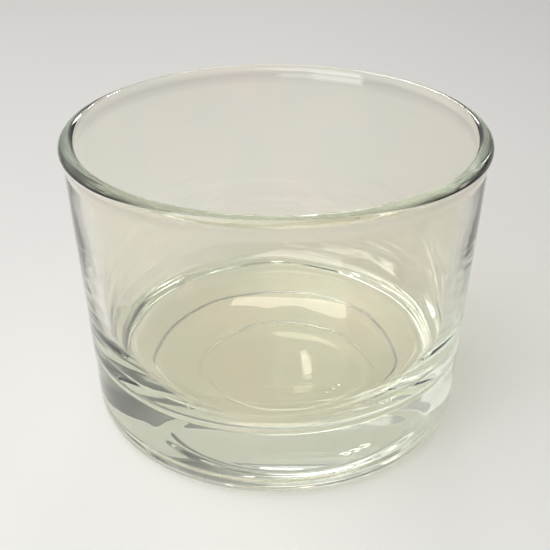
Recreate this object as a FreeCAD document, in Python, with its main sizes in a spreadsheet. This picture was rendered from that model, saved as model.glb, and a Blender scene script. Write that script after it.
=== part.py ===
import FreeCAD, Part
import math
import os

import Sketcher

# A low, heavy-based dish of pressed glass, made in one piece.
#
# Outside it has a slightly tapered wall, a rounded foot and a fire-polished rim that stands a
# little proud of the wall.  Inside is a tapered well, whose lower wall thickens in one long arc
# down to a flat floor, high above the foot.  Underneath is a shallow recess inside the standing
# ring, with a groove left by the mould's valve, a little off centre, and a short row of dots.
#
# All sizes are in millimetres.  The origin is the middle of the standing ring, and +Z is up.

# Driving dimensions: alias, value, what it is.
DIMENSIONS = [
    ("rim_diameter", 90.0, "largest diameter, over the rounded rim"),
    ("dish_height", 66.0, "from the standing ring to the top of the rim"),
    ("rim_thickness", 3.4, "thickness of the rim, a full round"),
    ("rim_stand_out", 0.55, "how far the rim stands proud of the outer wall"),
    ("rim_blend_radius", 7.0, "long hollow blend from the outer wall into the rim"),
    ("foot_diameter", 82.8, "outer wall carried down to the base plane"),
    ("foot_round_radius", 5.4, "outer round between wall and base"),
    ("wall_thickness", 3.45, "wall at the height where the inner arc begins"),
    ("arc_start_height", 30.0, "height at which the inner wall starts to thicken"),
    ("inner_arc_radius", 45.0, "long arc of the lower inner wall"),
    ("floor_height", 14.0, "inner floor above the base plane"),
    ("floor_round_radius", 5.5, "round between the inner arc and the floor"),
    ("recess_diameter", 60.0, "shallow recess under the base, inside the standing ring"),
    ("recess_depth", 0.6, "depth of that recess"),
    ("recess_step_width", 1.2, "width of the sloping step around that recess"),
    ("mark_offset_right", 2.6, "middle of the valve's mark, to +X of the dish's axis"),
    ("mark_offset_front", 6.5, "middle of the valve's mark, to -Y of the dish's axis"),
    ("valve_ring_diameter", 39.0, "groove left by the mould's valve"),
    ("valve_ring_radius", 4.0, "section radius of that groove"),
    ("valve_ring_depth", 0.3, "depth of that groove, up from the recess"),
    ("dot_diameter", 1.5, "moulded dot"),
    ("dot_height", 0.25, "how far a dot stands down from the recess"),
    ("dot_circle_diameter", 25.8, "circle that the dots lie on, round the mark's middle"),
    ("dot_start_angle", -46.0, "direction of the first dot from +X, in degrees"),
    ("dot_sweep_angle", 20.0, "angle from the first dot to the last, in degrees"),
    ("dot_count", 3, "dots in the row"),
]

START, END, CENTRE = 1, 2, 3
POINT_NAMES = {START: "StartPoint", END: "EndPoint", CENTRE: "Center"}
HORIZONTAL_AXIS, VERTICAL_AXIS = -1, -2
ROOT = (-1, 1)
DOT_EMBED = 0.1

document = FreeCAD.newDocument("crystallizing_dish")


def make_sheet(rows):
    """Write the driving dimensions to a spreadsheet and return it."""
    sheet = document.addObject("Spreadsheet::Sheet", "dimensions")
    for row, (alias, value, note) in enumerate(rows, start=1):
        sheet.set(f"A{row}", alias)
        sheet.set(f"B{row}", str(value))
        sheet.set(f"C{row}", note)
        sheet.setAlias(f"B{row}", alias)
    document.recompute()
    return sheet


def add_sketch(body, name, role):
    """Add a sketch on the body's own origin plane that has this role."""
    plane = next(item for item in body.Origin.OriginFeatures if item.Role == role)
    sketch = body.newObject("Sketcher::SketchObject", name)
    sketch.AttachmentSupport = [(plane, "")]
    sketch.MapMode = "FlatFace"
    return sketch


def constrain(sketch, kind, *arguments):
    """Add a geometric constraint to a sketch."""
    return sketch.addConstraint(Sketcher.Constraint(kind, *arguments))


def bind(sketch, name, expression, kind, *arguments):
    """Add a named dimension to a sketch and bind it to an expression."""
    sketch.renameConstraint(constrain(sketch, kind, *arguments), name)
    sketch.setExpression(f"Constraints.{name}", expression)


def bind_point(sketch, name, geometry, end, across, up):
    """Bind the two coordinates of a sketch point to expressions."""
    vertex = getattr(sketch.Geometry[geometry], POINT_NAMES[end])
    bind(sketch, name + "_across", across, "DistanceX", *ROOT, geometry, end, vertex.x)
    bind(sketch, name + "_up", up, "DistanceY", *ROOT, geometry, end, vertex.y)


def segment(sketch, start, finish, construction=False):
    """Draw a straight line between two (across, up) points and return its number."""
    ends = [FreeCAD.Vector(across, up, 0) for across, up in (start, finish)]
    return sketch.addGeometry(Part.LineSegment(*ends), construction)


def arc(sketch, centre, radius, start_angle, end_angle):
    """Draw an anticlockwise arc, angles in degrees, and return its number."""
    circle = Part.Circle(FreeCAD.Vector(*centre, 0), FreeCAD.Vector(0, 0, 1), radius)
    limits = math.radians(start_angle), math.radians(end_angle)
    return sketch.addGeometry(Part.ArcOfCircle(circle, *limits), False)


def turn(body, sketch, name, kind):
    """Turn a sketch once round the dish's axis, as material or as a cut."""
    feature = body.newObject(kind, name)
    feature.Profile = sketch
    feature.ReferenceAxis = (sketch, ["V_Axis"])
    feature.Angle = 360.0
    sketch.Visibility = False
    document.recompute()
    return feature


def round_edge(body, base, name, radius_alias, lowest, highest, least_radius):
    """Round the one circular edge of base within these heights and beyond this radius."""
    names = []
    for number, edge in enumerate(base.Shape.Edges, start=1):
        if not isinstance(edge.Curve, Part.Circle):
            continue
        height = edge.Curve.Center.z
        if lowest < height < highest and edge.Curve.Radius > least_radius:
            names.append(f"Edge{number}")
    if len(names) != 1:
        raise RuntimeError(f"{name}: expected one edge, found {names}")
    fillet = body.newObject("PartDesign::Fillet", name)
    fillet.Base = (base, names)
    fillet.setExpression("Radius", f"dimensions.{radius_alias}")
    document.recompute()
    return fillet


def draw_section(body, size):
    """Draw half of the dish's section: base, outer wall, rim, inner wall, long arc and floor."""
    height = size["dish_height"]
    rim_round = size["rim_thickness"] / 2
    rim_centre = size["rim_diameter"] / 2 - rim_round, height - rim_round
    foot = size["foot_diameter"] / 2
    wall_top = size["rim_diameter"] / 2 - size["rim_stand_out"]
    blend = size["rim_blend_radius"]
    blend_across = wall_top + blend - rim_centre[0]
    blend_drop = math.sqrt((blend + rim_round) ** 2 - blend_across**2)
    blend_centre = rim_centre[0] + blend_across, rim_centre[1] - blend_drop
    blend_angle = math.degrees(math.atan2(blend_drop, blend_across))
    knee = (foot + wall_top) / 2 - size["wall_thickness"], size["arc_start_height"]
    inner_arc = size["inner_arc_radius"]
    floor = size["floor_height"]
    floor_edge = knee[0] - (knee[1] - floor) ** 2 / (2 * inner_arc)

    sketch = add_sketch(body, "dish_section", "XZ_Plane")
    base = segment(sketch, (0, 0), (foot, 0))
    outer_wall = segment(sketch, (foot, 0), (wall_top, blend_centre[1]))
    rim_blend = arc(sketch, blend_centre, blend, 180 - blend_angle, 178)
    rim = arc(sketch, rim_centre, rim_round, -blend_angle, 90)
    inner_rim = arc(sketch, rim_centre, rim_round, 90, 176)
    inner_wall = segment(sketch, (rim_centre[0] - rim_round, rim_centre[1]), knee)
    long_arc = arc(sketch, (knee[0] - inner_arc, knee[1]), inner_arc, -25, -4)
    well_floor = segment(sketch, (floor_edge, floor), (0, floor))
    axis = segment(sketch, (0, floor), (0, 0))
    wall_line = segment(sketch, (foot, 0), (wall_top, height), construction=True)

    constrain(sketch, "Coincident", base, START, *ROOT)
    constrain(sketch, "PointOnObject", base, END, HORIZONTAL_AXIS)
    constrain(sketch, "Coincident", base, END, outer_wall, START)
    constrain(sketch, "Coincident", wall_line, START, outer_wall, START)
    constrain(sketch, "Parallel", outer_wall, wall_line)
    constrain(sketch, "Tangent", outer_wall, END, rim_blend, END)
    constrain(sketch, "Tangent", rim_blend, START, rim, START)
    constrain(sketch, "Coincident", rim, CENTRE, inner_rim, CENTRE)
    constrain(sketch, "Coincident", rim, END, inner_rim, START)
    constrain(sketch, "Vertical", rim, CENTRE, rim, END)
    constrain(sketch, "Tangent", inner_rim, END, inner_wall, START)
    constrain(sketch, "Tangent", inner_wall, END, long_arc, END)
    constrain(sketch, "Coincident", long_arc, START, well_floor, START)
    constrain(sketch, "Horizontal", well_floor)
    constrain(sketch, "Coincident", well_floor, END, axis, START)
    constrain(sketch, "PointOnObject", axis, START, VERTICAL_AXIS)
    constrain(sketch, "Coincident", axis, END, *ROOT)

    foot_radius = "dimensions.foot_diameter / 2"
    wall_radius = "(dimensions.rim_diameter / 2 - dimensions.rim_stand_out)"
    bind(sketch, "foot_radius", foot_radius, "DistanceX", *ROOT, base, END, foot)
    bind_point(sketch, "wall_top", wall_line, END, wall_radius, "dimensions.dish_height")
    bind(sketch, "blend_round", "dimensions.rim_blend_radius", "Radius", rim_blend, blend)
    bind(sketch, "rim_round", "dimensions.rim_thickness / 2", "Radius", rim, rim_round)
    rim_across = "(dimensions.rim_diameter - dimensions.rim_thickness) / 2"
    rim_up = "dimensions.dish_height - dimensions.rim_thickness / 2"
    bind_point(sketch, "rim_centre", rim, CENTRE, rim_across, rim_up)
    taper = f"({wall_radius} - {foot_radius}) / dimensions.dish_height"
    outer_at_knee = f"{foot_radius} + {taper} * dimensions.arc_start_height"
    knee_across = f"{outer_at_knee} - dimensions.wall_thickness"
    bind_point(sketch, "knee", inner_wall, END, knee_across, "dimensions.arc_start_height")
    bind(sketch, "inner_arc", "dimensions.inner_arc_radius", "Radius", long_arc, inner_arc)
    bind(sketch, "floor_up", "dimensions.floor_height", "DistanceY", *ROOT, axis, START, floor)
    document.recompute()
    return sketch


def draw_recess(body, size):
    """Draw the section of the shallow recess under the base, with its sloping step."""
    radius, depth = size["recess_diameter"] / 2, size["recess_depth"]
    ceiling = radius - size["recess_step_width"]
    sketch = add_sketch(body, "recess_section", "XZ_Plane")
    mouth = segment(sketch, (0, 0), (radius, 0))
    step = segment(sketch, (radius, 0), (ceiling, depth))
    roof = segment(sketch, (ceiling, depth), (0, depth))
    axis = segment(sketch, (0, depth), (0, 0))
    sides = [mouth, step, roof, axis]
    for side, following in zip(sides, sides[1:] + sides[:1]):
        constrain(sketch, "Coincident", side, END, following, START)
    constrain(sketch, "Coincident", mouth, START, *ROOT)
    constrain(sketch, "Horizontal", mouth)
    constrain(sketch, "Horizontal", roof)
    constrain(sketch, "Vertical", axis)
    bind(sketch, "recess_radius", "dimensions.recess_diameter / 2", "DistanceX", *ROOT, mouth, END, radius)
    roof_radius = "dimensions.recess_diameter / 2 - dimensions.recess_step_width"
    bind_point(sketch, "roof", step, END, roof_radius, "dimensions.recess_depth")
    document.recompute()
    return sketch


def draw_valve_ring(body, size):
    """Draw the round section that cuts the valve's groove into the recess."""
    groove_top = size["recess_depth"] + size["valve_ring_depth"]
    centre = size["valve_ring_diameter"] / 2, groove_top - size["valve_ring_radius"]
    sketch = add_sketch(body, "valve_ring_section", "XZ_Plane")
    sketch.setExpression("AttachmentOffset.Base.x", "dimensions.mark_offset_right")
    sketch.setExpression("AttachmentOffset.Base.z", "dimensions.mark_offset_front")
    circle = Part.Circle(FreeCAD.Vector(*centre, 0), FreeCAD.Vector(0, 0, 1), size["valve_ring_radius"])
    ring = sketch.addGeometry(circle, False)
    bind(sketch, "ring_round", "dimensions.valve_ring_radius", "Radius", ring, size["valve_ring_radius"])
    height = "dimensions.recess_depth + dimensions.valve_ring_depth - dimensions.valve_ring_radius"
    bind_point(sketch, "ring_centre", ring, CENTRE, "dimensions.valve_ring_diameter / 2", height)
    document.recompute()
    return sketch


def add_dots(body, size):
    """Stand a short row of moulded dots down from the recess."""
    angle = math.radians(size["dot_start_angle"])
    reach = size["dot_circle_diameter"] / 2
    centre = reach * math.cos(angle), reach * math.sin(angle)
    sketch = add_sketch(body, "dot_outline", "XY_Plane")
    sketch.setExpression("AttachmentOffset.Base.x", "dimensions.mark_offset_right")
    sketch.setExpression("AttachmentOffset.Base.y", "-dimensions.mark_offset_front")
    sketch.setExpression("AttachmentOffset.Base.z", f"dimensions.recess_depth + {DOT_EMBED}")
    circle = Part.Circle(FreeCAD.Vector(*centre, 0), FreeCAD.Vector(0, 0, 1), size["dot_diameter"] / 2)
    dot = sketch.addGeometry(circle, False)
    bind(sketch, "dot_radius", "dimensions.dot_diameter / 2", "Radius", dot, size["dot_diameter"] / 2)
    across = "dimensions.dot_circle_diameter / 2 * cos(dimensions.dot_start_angle * 1 deg)"
    up = "dimensions.dot_circle_diameter / 2 * sin(dimensions.dot_start_angle * 1 deg)"
    bind_point(sketch, "dot_centre", dot, CENTRE, across, up)
    document.recompute()
    pad = body.newObject("PartDesign::Pad", "first_dot")
    pad.Profile = sketch
    pad.Reversed = True
    pad.setExpression("Length", f"dimensions.dot_height + {DOT_EMBED}")
    document.recompute()
    row = body.newObject("PartDesign::PolarPattern", "dot_row")
    row.Originals = [pad]
    row.Axis = (sketch, ["N_Axis"])
    row.setExpression("Angle", "dimensions.dot_sweep_angle")
    row.setExpression("Occurrences", "dimensions.dot_count")
    body.Tip = row
    document.recompute()
    return row


def make_dish(size):
    """Model the one piece of glass and return its body."""
    body = document.addObject("PartDesign::Body", "glass_dish")
    body.Label = "glass_dish"
    turned = turn(body, draw_section(body, size), "turned_dish", "PartDesign::Revolution")
    foot_edge = 0.1 * size["foot_diameter"]
    foot = round_edge(body, turned, "foot_round", "foot_round_radius", -0.1, 0.1, foot_edge)
    floor = size["floor_height"]
    floor_round = round_edge(body, foot, "floor_round", "floor_round_radius", floor - 0.1, floor + 0.1, 1.0)
    before = floor_round.Shape.Volume
    recess = turn(body, draw_recess(body, size), "base_recess", "PartDesign::Groove")
    ring = turn(body, draw_valve_ring(body, size), "valve_ring", "PartDesign::Groove")
    if not before > recess.Shape.Volume > ring.Shape.Volume:
        raise RuntimeError("the recess or the valve ring cut nothing")
    dots = add_dots(body, size)
    if dots.Shape.Volume <= ring.Shape.Volume:
        raise RuntimeError("the moulded dots added nothing")
    body.Placement = FreeCAD.Placement()
    document.recompute()
    return body


def check(bodies):
    """Stop if any object of the document failed, or a body has no valid solid."""
    for item in document.Objects:
        if "Invalid" in item.State or "Error" in item.State:
            raise RuntimeError(f"{item.Name} failed: {item.State}")
    for body in bodies:
        if body.Shape.isNull() or not body.Shape.isValid() or len(body.Shape.Solids) != 1:
            raise RuntimeError(f"{body.Label} has no single valid solid")


make_sheet(DIMENSIONS)
bodies = [make_dish({alias: value for alias, value, note in DIMENSIONS})]
check(bodies)
os.makedirs("parts", exist_ok=True)
for body in bodies:
    body.Shape.exportStep(os.path.join("parts", body.Label + ".step"))
    height = body.Shape.BoundBox.ZLength
    print(f"{body.Label}: height {height:.2f} mm, volume {body.Shape.Volume / 1000:.1f} ml")
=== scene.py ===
"""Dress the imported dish: a low, heavy-based dish of clear pressed glass, made in one piece.

The dish is turned again here from its section, finely enough for its curves to refract cleanly, with
the slight waviness that pressing leaves in the glass.  Around it stand a plain pale bench, soft studio
light and the camera.  All lengths are in metres; section sizes are given in millimetres.
"""
import logging
import math
from dataclasses import dataclass, field
from enum import Enum

import bpy
import numpy as np
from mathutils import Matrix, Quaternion, Vector


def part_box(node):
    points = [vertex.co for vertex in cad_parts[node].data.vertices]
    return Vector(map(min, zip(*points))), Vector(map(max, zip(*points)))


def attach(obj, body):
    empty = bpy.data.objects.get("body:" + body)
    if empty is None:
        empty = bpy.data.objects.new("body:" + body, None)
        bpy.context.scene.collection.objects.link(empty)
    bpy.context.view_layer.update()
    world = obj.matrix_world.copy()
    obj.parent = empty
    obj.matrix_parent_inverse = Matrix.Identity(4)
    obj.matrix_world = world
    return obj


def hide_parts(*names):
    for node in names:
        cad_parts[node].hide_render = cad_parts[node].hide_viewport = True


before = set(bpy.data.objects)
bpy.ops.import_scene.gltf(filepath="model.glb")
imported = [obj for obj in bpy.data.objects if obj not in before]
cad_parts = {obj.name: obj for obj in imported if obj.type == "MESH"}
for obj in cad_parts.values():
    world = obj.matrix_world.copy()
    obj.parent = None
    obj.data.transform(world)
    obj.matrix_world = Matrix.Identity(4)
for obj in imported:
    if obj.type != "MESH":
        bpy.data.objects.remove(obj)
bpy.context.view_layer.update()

LOG = logging.getLogger("glass_dish")
MM = 0.001
DISH_NODE = "glass_dish"
ROOT_BODY = "root"
BLEND_ROUNDS = 8
GLASS_BOUNCES = 24
GLOSSY_BOUNCES = 16
BRIGHTEST_BOUNCE = 3.0

Point = tuple[float, float]
Colour = tuple[float, float, float]
WHITE: Colour = (1.0, 1.0, 1.0)
ROSE: Colour = (1.0, 0.93, 0.92)


class Zone(Enum):
    """The stretches of the dish's surface, which were formed in different ways."""

    UNDERSIDE = "underside"
    FOOT = "foot"
    OUTER_WALL = "outer wall"
    RIM = "rim"
    INNER_WALL = "inner wall"
    WELL_FLOOR = "well floor"


@dataclass(frozen=True)
class SectionPoint:
    """One point of the dish's section, in millimetres, with the stretch it belongs to."""

    radius: float
    height: float
    zone: Zone


def line(start: Point, finish: Point, steps: int) -> list[Point]:
    """Points along a straight line, without its start.

    Args:
        start: Radius and height where the line begins.
        finish: Radius and height where it ends.
        steps: How many points to give.

    Returns:
        The points, the last of them at finish.
    """
    across = np.linspace(start[0], finish[0], steps + 1)[1:]
    up = np.linspace(start[1], finish[1], steps + 1)[1:]
    return list(zip(across.tolist(), up.tolist()))


def arc(centre: Point, radius: float, start: float, finish: float, steps: int) -> list[Point]:
    """Points along a circular arc, with its start.

    Args:
        centre: Radius and height of the arc's centre.
        radius: Radius of the arc.
        start: Angle of the first point, in radians.
        finish: Angle of the last point, in radians.
        steps: How many steps the arc is divided into.

    Returns:
        The points from start to finish.
    """
    angles = np.linspace(start, finish, steps + 1)
    return [(centre[0] + radius * math.cos(a), centre[1] + radius * math.sin(a)) for a in angles]


@dataclass(frozen=True)
class Fineness:
    """How many points each stretch of the section gets, enough for smooth refraction."""

    recess: int = 66
    recess_step: int = 8
    standing_ring: int = 6
    foot_round: int = 18
    outer_wall: int = 46
    blend: int = 12
    rim: int = 26
    inner_wall: int = 48
    long_arc: int = 30
    floor_round: int = 10
    well_floor: int = 30


@dataclass
class DishSection:
    """Half of the dish's section, in millimetres, from under the middle round to the well floor."""

    rim_radius: float
    height: float
    rim_thickness: float = 3.4
    rim_stand_out: float = 0.55
    rim_blend: float = 7.0
    foot_radius: float = 41.4
    foot_round: float = 5.4
    wall: float = 3.45
    arc_start: float = 30.0
    long_arc: float = 45.0
    floor_height: float = 14.0
    floor_round: float = 5.5
    recess_radius: float = 30.0
    recess_depth: float = 0.6
    recess_step: float = 1.2
    points: Fineness = field(default_factory=Fineness)

    def outline(self) -> list[SectionPoint]:
        """Walk round the section.

        Returns:
            The points in order, from the middle of the underside to the middle of the well floor.
        """
        stretches = [
            (Zone.UNDERSIDE, self.underside()),
            (Zone.FOOT, self.foot()),
            (Zone.OUTER_WALL, self.outer_wall()),
            (Zone.RIM, self.rim()),
            (Zone.INNER_WALL, self.inner_wall()),
            (Zone.WELL_FLOOR, self.well_floor()),
        ]
        return [SectionPoint(r, z, zone) for zone, points in stretches for r, z in points]

    @property
    def taper(self) -> float:
        """How far the outer wall leans out for each unit of height."""
        return (self.rim_radius - self.rim_stand_out - self.foot_radius) / self.height

    def outer_radius(self, height: float) -> float:
        """Radius of the outer wall's line at this height."""
        return self.foot_radius + self.taper * height

    def underside(self) -> list[Point]:
        """The plain recess and its sloping step down to the standing ring."""
        ceiling = self.recess_radius - self.recess_step
        middle = (0.0, self.recess_depth)
        points = [middle] + line(middle, (ceiling, self.recess_depth), self.points.recess)
        slope = np.linspace(0.0, 1.0, self.points.recess_step + 1)[1:]
        fall = self.recess_depth * (1 - slope**2 * (3 - 2 * slope))
        return points + [(ceiling + self.recess_step * t, z) for t, z in zip(slope.tolist(), fall.tolist())]

    def foot(self) -> list[Point]:
        """The flat standing ring and the round up into the wall."""
        lean = math.sqrt(1 + self.taper**2)
        centre = (self.outer_radius(self.foot_round) - self.foot_round * lean, self.foot_round)
        flat = line((self.recess_radius, 0.0), (centre[0], 0.0), self.points.standing_ring)
        finish = -math.atan(self.taper)
        return flat + arc(centre, self.foot_round, -math.pi / 2, finish, self.points.foot_round)[1:]

    def rim_centre(self) -> Point:
        """Middle of the round that makes the rim."""
        return (self.rim_radius - self.rim_thickness / 2, self.height - self.rim_thickness / 2)

    def blend_centre(self) -> Point:
        """Middle of the hollow round between the outer wall and the rim, closed in on in a few rounds."""
        rim_across, rim_up = self.rim_centre()
        reach = self.rim_blend + self.rim_thickness / 2
        up = rim_up
        for _ in range(BLEND_ROUNDS):
            across = self.outer_radius(up) + self.rim_blend * math.sqrt(1 + self.taper**2)
            up = rim_up - math.sqrt(reach**2 - (across - rim_across) ** 2)
        return (across, up)

    def outer_wall(self) -> list[Point]:
        """The tapered outer wall and the hollow round under the rim."""
        foot_top = self.foot()[-1]
        centre = self.blend_centre()
        rim = self.rim_centre()
        wall_side = math.pi - math.atan(self.taper)
        rim_side = math.atan2(rim[1] - centre[1], rim[0] - centre[0])
        blend = arc(centre, self.rim_blend, wall_side, rim_side, self.points.blend)
        return line(foot_top, blend[0], self.points.outer_wall) + blend[1:]

    def rim(self) -> list[Point]:
        """The full round of the rim, from the blend over the top to the inner wall."""
        rim = self.rim_centre()
        blend = self.blend_centre()
        start = math.atan2(blend[1] - rim[1], blend[0] - rim[0])
        knee = self.knee()
        lean = math.atan((rim[0] - self.rim_thickness / 2 - knee[0]) / (rim[1] - knee[1]))
        return arc(rim, self.rim_thickness / 2, start, math.pi - lean, self.points.rim)[1:]

    def knee(self) -> Point:
        """Where the straight inner wall becomes the long arc."""
        return (self.outer_radius(self.arc_start) - self.wall, self.arc_start)

    def inner_wall(self) -> list[Point]:
        """The straight inner wall, the long arc that thickens it and the round into the floor."""
        start = self.rim()[-1]
        knee = self.knee()
        lean = math.atan((start[0] - knee[0]) / (start[1] - knee[1]))
        centre = (knee[0] - self.long_arc * math.cos(lean), knee[1] + self.long_arc * math.sin(lean))
        round_up = self.floor_height + self.floor_round
        inner = self.long_arc - self.floor_round
        drop = centre[1] - round_up
        round_centre = (centre[0] + math.sqrt(inner**2 - drop**2), round_up)
        finish = -math.asin(drop / inner)
        points = line(start, knee, self.points.inner_wall)
        points += arc(centre, self.long_arc, -lean, finish, self.points.long_arc)[1:]
        return points + arc(round_centre, self.floor_round, finish, -math.pi / 2, self.points.floor_round)[1:]

    def well_floor(self) -> list[Point]:
        """The flat floor, in to the middle."""
        return line(self.inner_wall()[-1], (0.0, self.floor_height), self.points.well_floor)


@dataclass(frozen=True)
class Ripple:
    """A family of shallow waves that pressing left in one stretch of the surface.

    Attributes:
        height: Height of the waves, in millimetres.
        length: Usual distance from crest to crest, in millimetres.
        upright: Share of the waves' change that runs up the wall rather than round it.
        count: How many waves are added together.
        shortest: Shortest wave, as a share of the usual length.
        longest: Longest wave, as a share of the usual length.
    """

    height: float
    length: float
    upright: float
    count: int = 14
    shortest: float = 0.6
    longest: float = 1.8


RIPPLES: dict[Zone, Ripple] = {
    Zone.UNDERSIDE: Ripple(height=0.006, length=14.0, upright=0.5),
    Zone.FOOT: Ripple(height=0.005, length=14.0, upright=0.3),
    Zone.OUTER_WALL: Ripple(height=0.009, length=13.0, upright=0.75),
    Zone.RIM: Ripple(height=0.006, length=16.0, upright=0.1),
    Zone.INNER_WALL: Ripple(height=0.011, length=13.0, upright=0.8),
    Zone.WELL_FLOOR: Ripple(height=0.006, length=14.0, upright=0.5),
}


@dataclass(frozen=True)
class ChillPatch:
    """Close ripples on one side of the outer wall, where the glass met a cold part of the mould.

    Attributes:
        facing: Direction of the patch's middle from +X, in degrees.
        spread: Half of the patch's width, in degrees.
        low: Height where the patch fades in, in millimetres.
        high: Height where it has faded out, in millimetres.
        length: Distance from crest to crest, in millimetres.
        height: Height of the ripples, in millimetres.
        slant: How fast the crests climb round the wall, in radians of wave for each radian of turn.
        wander: How far the crests stray from that climb, in radians of wave.
        wander_turn: How often they stray on the way round.
        wander_climb: How often they stray on the way up, for each millimetre.
    """

    facing: float = 5.0
    spread: float = 42.0
    low: float = 14.0
    high: float = 60.0
    length: float = 4.4
    height: float = 0.018
    slant: float = 9.0
    wander: float = 0.9
    wander_turn: float = 2.3
    wander_climb: float = 0.31

    def wave_height(self, points: np.ndarray) -> np.ndarray:
        """Height of the ripples at each point, in millimetres."""
        angle = np.arctan2(points[:, 1], points[:, 0])
        turned = np.angle(np.exp(1j * (angle - math.radians(self.facing))))
        sideways = np.clip(1 - (turned / math.radians(self.spread)) ** 2, 0.0, 1.0)
        level = np.clip((points[:, 2] - self.low) / (self.high - self.low), 0.0, 1.0)
        wander = self.wander * np.sin(self.wander_turn * angle + self.wander_climb * points[:, 2])
        phase = 2 * math.pi * points[:, 2] / self.length + self.slant * angle + wander
        return self.height * sideways**2 * np.sin(math.pi * level) * np.cos(phase)


@dataclass(frozen=True)
class BaseMark:
    """What the mould's valve left in the recess: a soft round groove and a row of plain dots.

    All sizes are in millimetres, and angles in degrees.  The dots' sloping edge is a share of their radius.
    """

    centre: Point = (2.6, -6.5)
    groove_radius: float = 19.5
    groove_half_width: float = 2.2
    groove_depth: float = 0.3
    dot_circle_radius: float = 12.9
    dot_start_angle: float = -46.0
    dot_sweep_angle: float = 20.0
    dot_count: int = 3
    dot_radius: float = 0.75
    dot_height: float = 0.25
    dot_edge: float = 0.5

    def rise(self, points: np.ndarray) -> np.ndarray:
        """Work out how far the groove lifts each point of the recess, and the dots bring it down.

        Args:
            points: The points, one row of x, y, z each, in millimetres.

        Returns:
            The rise at each point, in millimetres.
        """
        away = np.hypot(points[:, 0] - self.centre[0], points[:, 1] - self.centre[1])
        inside = np.clip(1 - ((away - self.groove_radius) / self.groove_half_width) ** 2, 0.0, 1.0)
        rise = self.groove_depth * inside**2
        for angle in np.radians(np.linspace(0, self.dot_sweep_angle, self.dot_count) + self.dot_start_angle):
            across = points[:, 0] - self.centre[0] - self.dot_circle_radius * math.cos(angle)
            along = points[:, 1] - self.centre[1] - self.dot_circle_radius * math.sin(angle)
            outside = np.hypot(across, along) / self.dot_radius - 1
            share = np.clip(0.5 - outside / self.dot_edge, 0.0, 1.0)
            rise -= self.dot_height * share**2 * (3 - 2 * share)
        return rise


@dataclass
class FineUnevenness:
    """Shader group: shallow surface unevenness, a faint film of handling, and drifting colour.

    The same group is placed in the glass and in the bench, each with its own values.
    """

    name: str = "fine unevenness"
    film_starts: float = 0.50
    film_is_full: float = 0.80
    tree: bpy.types.ShaderNodeTree = field(init=False)

    def __post_init__(self) -> None:
        """Build the group once, with its named sockets."""
        self.tree = bpy.data.node_groups.new(self.name, "ShaderNodeTree")
        self.add_sockets()
        self.wire()

    def add_sockets(self) -> None:
        """Name what goes in and what comes out."""
        face = self.tree.interface
        face.new_socket("Wave Scale", in_out="INPUT", socket_type="NodeSocketFloat").default_value = 90.0
        face.new_socket("Film Scale", in_out="INPUT", socket_type="NodeSocketFloat").default_value = 40.0
        face.new_socket("Clean Roughness", in_out="INPUT", socket_type="NodeSocketFloat").default_value = 0.0
        face.new_socket("Film Roughness", in_out="INPUT", socket_type="NodeSocketFloat").default_value = 0.05
        face.new_socket("Colour", in_out="INPUT", socket_type="NodeSocketColor")
        face.new_socket("Drift Colour", in_out="INPUT", socket_type="NodeSocketColor")
        face.new_socket("Height", in_out="OUTPUT", socket_type="NodeSocketFloat")
        face.new_socket("Roughness", in_out="OUTPUT", socket_type="NodeSocketFloat")
        face.new_socket("Colour", in_out="OUTPUT", socket_type="NodeSocketColor")

    def noise(
        self, scale: bpy.types.NodeSocket, coords: bpy.types.NodeSocket, detail: float
    ) -> bpy.types.Node:
        """Add a noise texture driven by a scale socket.

        Args:
            scale: Socket that gives the noise's scale.
            coords: Socket that gives the position.
            detail: Octaves of finer noise.

        Returns:
            The noise node.
        """
        node = self.tree.nodes.new("ShaderNodeTexNoise")
        node.inputs["Detail"].default_value = detail
        self.tree.links.new(coords, node.inputs["Vector"])
        self.tree.links.new(scale, node.inputs["Scale"])
        return node

    def wire(self) -> None:
        """Join the textures to the group's outputs."""
        nodes, links = self.tree.nodes, self.tree.links
        given = nodes.new("NodeGroupInput")
        made = nodes.new("NodeGroupOutput")
        place = nodes.new("ShaderNodeTexCoord").outputs["Object"]
        wave = self.noise(given.outputs["Wave Scale"], place, 1.0)
        links.new(wave.outputs["Fac"], made.inputs["Height"])

        film = self.noise(given.outputs["Film Scale"], place, 4.0)
        patchy = nodes.new("ShaderNodeMapRange")
        patchy.interpolation_type = "SMOOTHSTEP"
        patchy.inputs["From Min"].default_value = self.film_starts
        patchy.inputs["From Max"].default_value = self.film_is_full
        links.new(film.outputs["Fac"], patchy.inputs["Value"])
        links.new(given.outputs["Clean Roughness"], patchy.inputs["To Min"])
        links.new(given.outputs["Film Roughness"], patchy.inputs["To Max"])
        links.new(patchy.outputs["Result"], made.inputs["Roughness"])

        drift = nodes.new("ShaderNodeMix")
        drift.data_type = "RGBA"
        links.new(wave.outputs["Fac"], drift.inputs["Factor"])
        links.new(given.outputs["Colour"], drift.inputs["A"])
        links.new(given.outputs["Drift Colour"], drift.inputs["B"])
        links.new(drift.outputs["Result"], made.inputs["Colour"])

    def place(self, material: bpy.types.Material, values: dict[str, float | Colour]) -> bpy.types.Node:
        """Place the group in a material with its own values.

        Args:
            material: The material.
            values: A value for each input, by its name.

        Returns:
            The group's node.
        """
        node = material.node_tree.nodes.new("ShaderNodeGroup")
        node.node_tree = self.tree
        for name, value in values.items():
            socket = node.inputs[name]
            socket.default_value = (*value, 1.0) if isinstance(value, tuple) else value
        return node


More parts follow.
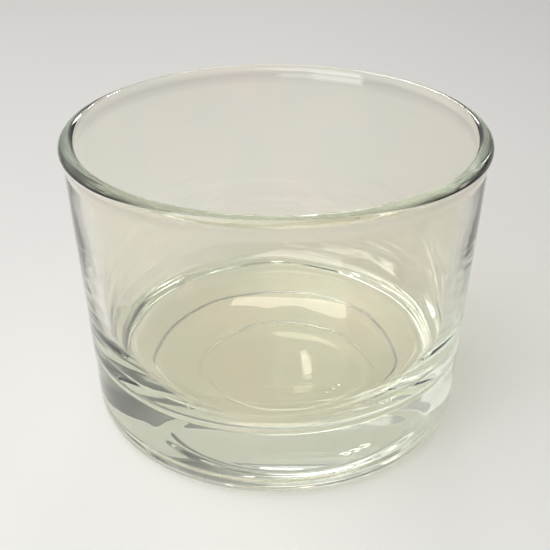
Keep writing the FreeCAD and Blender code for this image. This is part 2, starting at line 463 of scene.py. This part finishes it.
@dataclass(frozen=True)
class PressedGlass:
    """Clear soda-lime glass with the faint yellow-green cast of pressed ware."""

    colour: Colour = (0.985, 0.91, 0.85)
    drift_colour: Colour = (0.88, 0.92, 0.835)
    ior: float = 1.52
    depth_colour: Colour = (0.70, 0.86, 0.72)
    depth_density: float = 4.0
    lamp_colour: Colour = (0.73, 0.73, 0.67)
    film_roughness: float = 0.035
    wave_depth: float = 0.000008

    def material(self, unevenness: FineUnevenness) -> bpy.types.Material:
        """Make the glass.

        Args:
            unevenness: The shared group of surface detail.

        Returns:
            The finished material.
        """
        made = bpy.data.materials.new("pressed glass")
        made.use_nodes = True
        nodes, links = made.node_tree.nodes, made.node_tree.links
        glass = nodes["Principled BSDF"]
        glass.inputs["IOR"].default_value = self.ior
        glass.inputs["Transmission Weight"].default_value = 1.0
        glass.inputs["Metallic"].default_value = 0.0
        detail = unevenness.place(made, {
            "Wave Scale": 70.0,
            "Film Scale": 55.0,
            "Clean Roughness": 0.0,
            "Film Roughness": self.film_roughness,
            "Colour": self.colour,
            "Drift Colour": self.drift_colour,
        })
        links.new(detail.outputs["Colour"], glass.inputs["Base Color"])
        links.new(detail.outputs["Roughness"], glass.inputs["Roughness"])
        bump = nodes.new("ShaderNodeBump")
        bump.inputs["Strength"].default_value = 1.0
        bump.inputs["Distance"].default_value = self.wave_depth
        links.new(detail.outputs["Height"], bump.inputs["Height"])
        links.new(bump.outputs["Normal"], glass.inputs["Normal"])
        self.add_depth(made)
        self.let_lamps_through(made, glass)
        return made

    def add_depth(self, material: bpy.types.Material) -> None:
        """Tint the glass by how much of it the light passes through."""
        depth = material.node_tree.nodes.new("ShaderNodeVolumeAbsorption")
        depth.inputs["Color"].default_value = (*self.depth_colour, 1.0)
        depth.inputs["Density"].default_value = self.depth_density
        target = material.node_tree.nodes["Material Output"].inputs["Volume"]
        material.node_tree.links.new(depth.outputs["Volume"], target)

    def let_lamps_through(self, material: bpy.types.Material, glass: bpy.types.Node) -> None:
        """Let lamps light the bench through the glass, so that its shadow is as pale as real glass gives."""
        nodes, links = material.node_tree.nodes, material.node_tree.links
        path = nodes.new("ShaderNodeLightPath")
        clear = nodes.new("ShaderNodeBsdfTransparent")
        clear.inputs["Color"].default_value = (*self.lamp_colour, 1.0)
        choose = nodes.new("ShaderNodeMixShader")
        links.new(path.outputs["Is Shadow Ray"], choose.inputs["Fac"])
        links.new(glass.outputs["BSDF"], choose.inputs[1])
        links.new(clear.outputs["BSDF"], choose.inputs[2])
        links.new(choose.outputs["Shader"], nodes["Material Output"].inputs["Surface"])


@dataclass(frozen=True)
class PaleBench:
    """Matt, nearly white bench top."""

    colour: Colour = (0.80, 0.79, 0.77)
    drift_colour: Colour = (0.77, 0.765, 0.75)
    roughness: float = 0.55
    worn_roughness: float = 0.65

    def material(self, unevenness: FineUnevenness) -> bpy.types.Material:
        """Make the bench's finish.

        Args:
            unevenness: The shared group of surface detail.

        Returns:
            The finished material.
        """
        made = bpy.data.materials.new("pale bench")
        made.use_nodes = True
        surface = made.node_tree.nodes["Principled BSDF"]
        detail = unevenness.place(made, {
            "Wave Scale": 3.0,
            "Film Scale": 12.0,
            "Clean Roughness": self.roughness,
            "Film Roughness": self.worn_roughness,
            "Colour": self.colour,
            "Drift Colour": self.drift_colour,
        })
        links = made.node_tree.links
        links.new(detail.outputs["Colour"], surface.inputs["Base Color"])
        links.new(detail.outputs["Roughness"], surface.inputs["Roughness"])
        return made


@dataclass
class GlassDish:
    """The one piece of pressed glass."""

    section: DishSection
    mark: BaseMark = field(default_factory=BaseMark)
    chill: ChillPatch = field(default_factory=ChillPatch)
    finish: PressedGlass = field(default_factory=PressedGlass)
    around: int = 320
    fade: int = 5
    seed: int = 11

    def build(self) -> bpy.types.Object:
        """Turn the section round, add the waviness and the mark under the base, and place the dish.

        Returns:
            The dish's object.
        """
        outline = self.section.outline()
        points = self.turned_points(outline)
        points += self.waviness(outline, points)
        points[:, 2] = np.maximum(points[:, 2] + self.mark_rise(outline, points), 0.0)
        mesh = bpy.data.meshes.new("pressed_glass_dish")
        mesh.from_pydata((points * MM).tolist(), [], self.faces(len(outline)))
        mesh.validate()
        mesh.polygons.foreach_set("use_smooth", [True] * len(mesh.polygons))
        dish = bpy.data.objects.new("pressed_glass_dish", mesh)
        bpy.context.scene.collection.objects.link(dish)
        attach(dish, ROOT_BODY)
        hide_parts(DISH_NODE)
        return dish

    def dress(self, dish: bpy.types.Object, unevenness: FineUnevenness) -> None:
        """Give the dish its glass."""
        dish.data.materials.append(self.finish.material(unevenness))

    def turned_points(self, outline: list[SectionPoint]) -> np.ndarray:
        """Turn the section's points round the axis, all but the two that lie on it.

        Args:
            outline: The section.

        Returns:
            One row of x, y, z for each point: the first axis point, the rings and the last axis point.
        """
        angles = np.arange(self.around) * (2 * math.pi / self.around)
        rings = [np.array([[0.0, 0.0, outline[0].height]])]
        for point in outline[1:-1]:
            up = np.full(self.around, point.height)
            rings.append(np.column_stack([point.radius * np.cos(angles), point.radius * np.sin(angles), up]))
        rings.append(np.array([[0.0, 0.0, outline[-1].height]]))
        return np.vstack(rings)

    def faces(self, count: int) -> list[tuple[int, ...]]:
        """Join the rings with faces that look outwards.

        Args:
            count: How many points the section has.

        Returns:
            The faces, as vertex numbers.
        """
        rings = count - 2
        last = 1 + rings * self.around
        made: list[tuple[int, ...]] = []
        for step in range(self.around):
            after = (step + 1) % self.around
            made.append((0, 1 + after, 1 + step))
            for ring in range(rings - 1):
                low = 1 + ring * self.around
                high = low + self.around
                made.append((low + step, low + after, high + after, high + step))
            top = last - self.around
            made.append((top + step, top + after, last))
        return made

    def normals(self, outline: list[SectionPoint]) -> np.ndarray:
        """Outward direction of the section at each of its points, as radius and height."""
        line_points = np.array([[point.radius, point.height] for point in outline])
        along = np.gradient(line_points, axis=0)
        along /= np.linalg.norm(along, axis=1)[:, None]
        return np.column_stack([along[:, 1], -along[:, 0]])

    def waviness(self, outline: list[SectionPoint], points: np.ndarray) -> np.ndarray:
        """Work out how the pressing's waves move each point.

        Args:
            outline: The section.
            points: The turned points, in millimetres.

        Returns:
            The shift of each point, in millimetres.
        """
        shift = np.zeros_like(points)
        angles = np.arctan2(points[:, 1], points[:, 0])
        across, up = self.normals(outline).T
        last = len(outline) - 1
        ring_of = np.concatenate([[0], np.repeat(np.arange(1, last), self.around), [last]])
        strength = self.strengths(outline)
        for number, zone in enumerate(Zone):
            wave = self.wave_height(points, RIPPLES[zone], self.seed + number)
            if zone is Zone.OUTER_WALL:
                wave += self.chill.wave_height(points)
            push = wave * strength[zone][ring_of]
            shift[:, 0] += push * across[ring_of] * np.cos(angles)
            shift[:, 1] += push * across[ring_of] * np.sin(angles)
            shift[:, 2] += push * up[ring_of]
        return shift

    def strengths(self, outline: list[SectionPoint]) -> dict[Zone, np.ndarray]:
        """Share of each zone's waves at each section point, fading where one zone meets the next.

        Args:
            outline: The section.

        Returns:
            For each zone, a share from 0 to 1 at each point of the section.
        """
        window = np.hanning(2 * self.fade + 3)[1:-1]
        window /= window.sum()
        shares = {}
        for zone in Zone:
            inside = np.array([1.0 if point.zone is zone else 0.0 for point in outline])
            padded = np.pad(inside, self.fade, mode="edge")
            shares[zone] = np.convolve(padded, window, mode="valid")
        return shares

    def wave_height(self, points: np.ndarray, ripple: Ripple, seed: int) -> np.ndarray:
        """Add seeded plane waves together, so that no crest runs far.

        Args:
            points: The points, in millimetres.
            ripple: The family of waves.
            seed: Seed of the waves' directions and phases.

        Returns:
            The height of the surface above its plain shape at each point, in millimetres.
        """
        chance = np.random.default_rng(seed)
        height = np.zeros(len(points))
        for _ in range(ripple.count):
            turn = chance.uniform(0, 2 * math.pi)
            upright = ripple.upright * chance.choice([-1.0, 1.0])
            level = math.sqrt(1 - ripple.upright**2)
            direction = np.array([level * math.cos(turn), level * math.sin(turn), upright])
            length = ripple.length * chance.uniform(ripple.shortest, ripple.longest)
            wave_number = 2 * math.pi / length
            height += np.cos(points @ direction * wave_number + chance.uniform(0, 2 * math.pi))
        return height * ripple.height / math.sqrt(ripple.count)

    def mark_rise(self, outline: list[SectionPoint], points: np.ndarray) -> np.ndarray:
        """Rise of the mark under the base, on the underside only."""
        under = sum(point.zone is Zone.UNDERSIDE for point in outline) - 1
        recess = slice(0, 1 + under * self.around)
        rise = np.zeros(len(points))
        rise[recess] = self.mark.rise(points[recess])
        return rise


@dataclass
class Bench:
    """The plain pale surface that the dish stands on."""

    half_width: float = 3.0
    gap: float = 0.0001
    finish: PaleBench = field(default_factory=PaleBench)

    def build(self) -> bpy.types.Object:
        """Lay the bench a hair under the dish.

        Returns:
            The bench's object.
        """
        side, top = self.half_width, -self.gap
        corners = [(-side, -side, top), (side, -side, top), (side, side, top), (-side, side, top)]
        mesh = bpy.data.meshes.new("pale_bench")
        mesh.from_pydata(corners, [], [(0, 1, 2, 3)])
        bench = bpy.data.objects.new("pale_bench", mesh)
        bpy.context.scene.collection.objects.link(bench)
        return bench

    def dress(self, bench: bpy.types.Object, unevenness: FineUnevenness) -> None:
        """Give the bench its finish."""
        bench.data.materials.append(self.finish.material(unevenness))


@dataclass(frozen=True)
class SoftLamp:
    """A square or oblong soft lamp aimed at a point."""

    name: str
    place: tuple[float, float, float]
    aim: tuple[float, float, float]
    size: tuple[float, float]
    power: float
    colour: Colour = WHITE
    roll: float = 0.0

    def build(self) -> bpy.types.Object:
        """Hang the lamp, aim it and roll it about its own line of sight by so many degrees."""
        lamp = bpy.data.lights.new(self.name, "AREA")
        lamp.shape = "RECTANGLE"
        lamp.size, lamp.size_y = self.size
        lamp.energy = self.power
        lamp.color = self.colour
        hung = bpy.data.objects.new(self.name, lamp)
        hung.location = self.place
        direction = Vector(self.aim) - Vector(self.place)
        aimed = direction.to_track_quat("-Z", "Y") @ Quaternion((0.0, 0.0, 1.0), math.radians(self.roll))
        hung.rotation_euler = aimed.to_euler()
        bpy.context.scene.collection.objects.link(hung)
        return hung


@dataclass
class Studio:
    """A room that is bright on the left and dim on the right, with soft lamps."""

    dim: Colour = (0.04, 0.045, 0.04)
    bright: Colour = (0.90, 0.89, 0.86)
    strength: float = 0.62
    dim_end: float = 1.0
    bright_end: float = -0.35
    lamps: tuple[SoftLamp, ...] = (
        SoftLamp("overhead lamp", (-0.24, -0.42, 0.70), (0.0, 0.0, 0.0), (0.7, 0.7), 4.8),
        SoftLamp("window lamp", (-0.70, 0.20, 0.42), (0.0, 0.0, 0.03), (0.8, 0.8), 0.8),
        SoftLamp(
            "upper glint lamp", (0.052, 0.82, 0.583), (0.0, 0.0, 0.014), (0.014, 0.036), 0.065, roll=14.0
        ),
        SoftLamp("lower glint lamp", (0.050, 0.80, 0.655), (0.0, 0.0, 0.014), (0.030, 0.040), 0.20),
        SoftLamp("back strip lamp", (0.024, 0.86, 0.494), (0.0, 0.0, 0.014), (0.21, 0.060), 0.46, ROSE, -7.0),
        SoftLamp("front lamp", (-0.50, -0.60, 0.46), (0.0, 0.0, 0.014), (0.46, 0.34), 1.5),
    )

    def build(self) -> None:
        """Light the room."""
        world = bpy.data.worlds.new("studio")
        bpy.context.scene.world = world
        world.use_nodes = True
        nodes, links = world.node_tree.nodes, world.node_tree.links
        place = nodes.new("ShaderNodeTexCoord")
        split = nodes.new("ShaderNodeSeparateXYZ")
        links.new(place.outputs["Generated"], split.inputs["Vector"])
        share = nodes.new("ShaderNodeMapRange")
        share.interpolation_type = "SMOOTHSTEP"
        share.inputs["From Min"].default_value = self.dim_end
        share.inputs["From Max"].default_value = self.bright_end
        links.new(split.outputs["X"], share.inputs["Value"])
        blend = nodes.new("ShaderNodeMix")
        blend.data_type = "RGBA"
        blend.inputs["A"].default_value = (*self.dim, 1.0)
        blend.inputs["B"].default_value = (*self.bright, 1.0)
        links.new(share.outputs["Result"], blend.inputs["Factor"])
        background = nodes["Background"]
        links.new(blend.outputs["Result"], background.inputs["Color"])
        background.inputs["Strength"].default_value = self.strength
        for lamp in self.lamps:
            lamp.build()


@dataclass
class Viewpoint:
    """The camera, looking down into the dish from the front."""

    reach: float = 0.216
    aim_height: float = 0.03024
    elevation: float = 29.33
    lens: float = 62.116
    sensor: float = 36.0
    shift: float = -0.00182

    def build(self) -> bpy.types.Object:
        """Place the camera and make it the scene's.

        Returns:
            The camera's object.
        """
        camera = bpy.data.cameras.new("camera")
        camera.sensor_width = self.sensor
        camera.lens = self.lens
        camera.shift_x = self.shift
        camera.clip_start = 0.01
        tilt = math.radians(self.elevation)
        placed = bpy.data.objects.new("camera", camera)
        placed.location = (0.0, -self.reach * math.cos(tilt), self.aim_height + self.reach * math.sin(tilt))
        placed.rotation_euler = (math.pi / 2 - tilt, 0.0, 0.0)
        bpy.context.scene.collection.objects.link(placed)
        bpy.context.scene.camera = placed
        return placed


def set_light_paths() -> None:
    """Let light pass through every wall of the glass, and show plain studio tones."""
    scene = bpy.context.scene
    scene.cycles.max_bounces = GLASS_BOUNCES
    scene.cycles.transmission_bounces = GLASS_BOUNCES
    scene.cycles.glossy_bounces = GLOSSY_BOUNCES
    scene.cycles.sample_clamp_indirect = BRIGHTEST_BOUNCE
    scene.view_settings.view_transform = "Standard"


def main() -> None:
    """Build the dish, the bench, the light and the camera, in that order."""
    logging.basicConfig(level=logging.INFO)
    low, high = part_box(DISH_NODE)
    section = DishSection(rim_radius=(high[0] - low[0]) / 2 / MM, height=(high[2] - low[2]) / MM)
    unevenness = FineUnevenness()
    dish = GlassDish(section)
    glass = dish.build()
    dish.dress(glass, unevenness)
    LOG.info("%s: %d faces", glass.name, len(glass.data.polygons))
    bench = Bench()
    top = bench.build()
    bench.dress(top, unevenness)
    LOG.info("%s: %d faces", top.name, len(top.data.polygons))
    studio = Studio()
    studio.build()
    LOG.info("studio: %d lamps", len(studio.lamps))
    LOG.info("%s: placed", Viewpoint().build().name)
    set_light_paths()


if __name__ == "__main__":
    main()
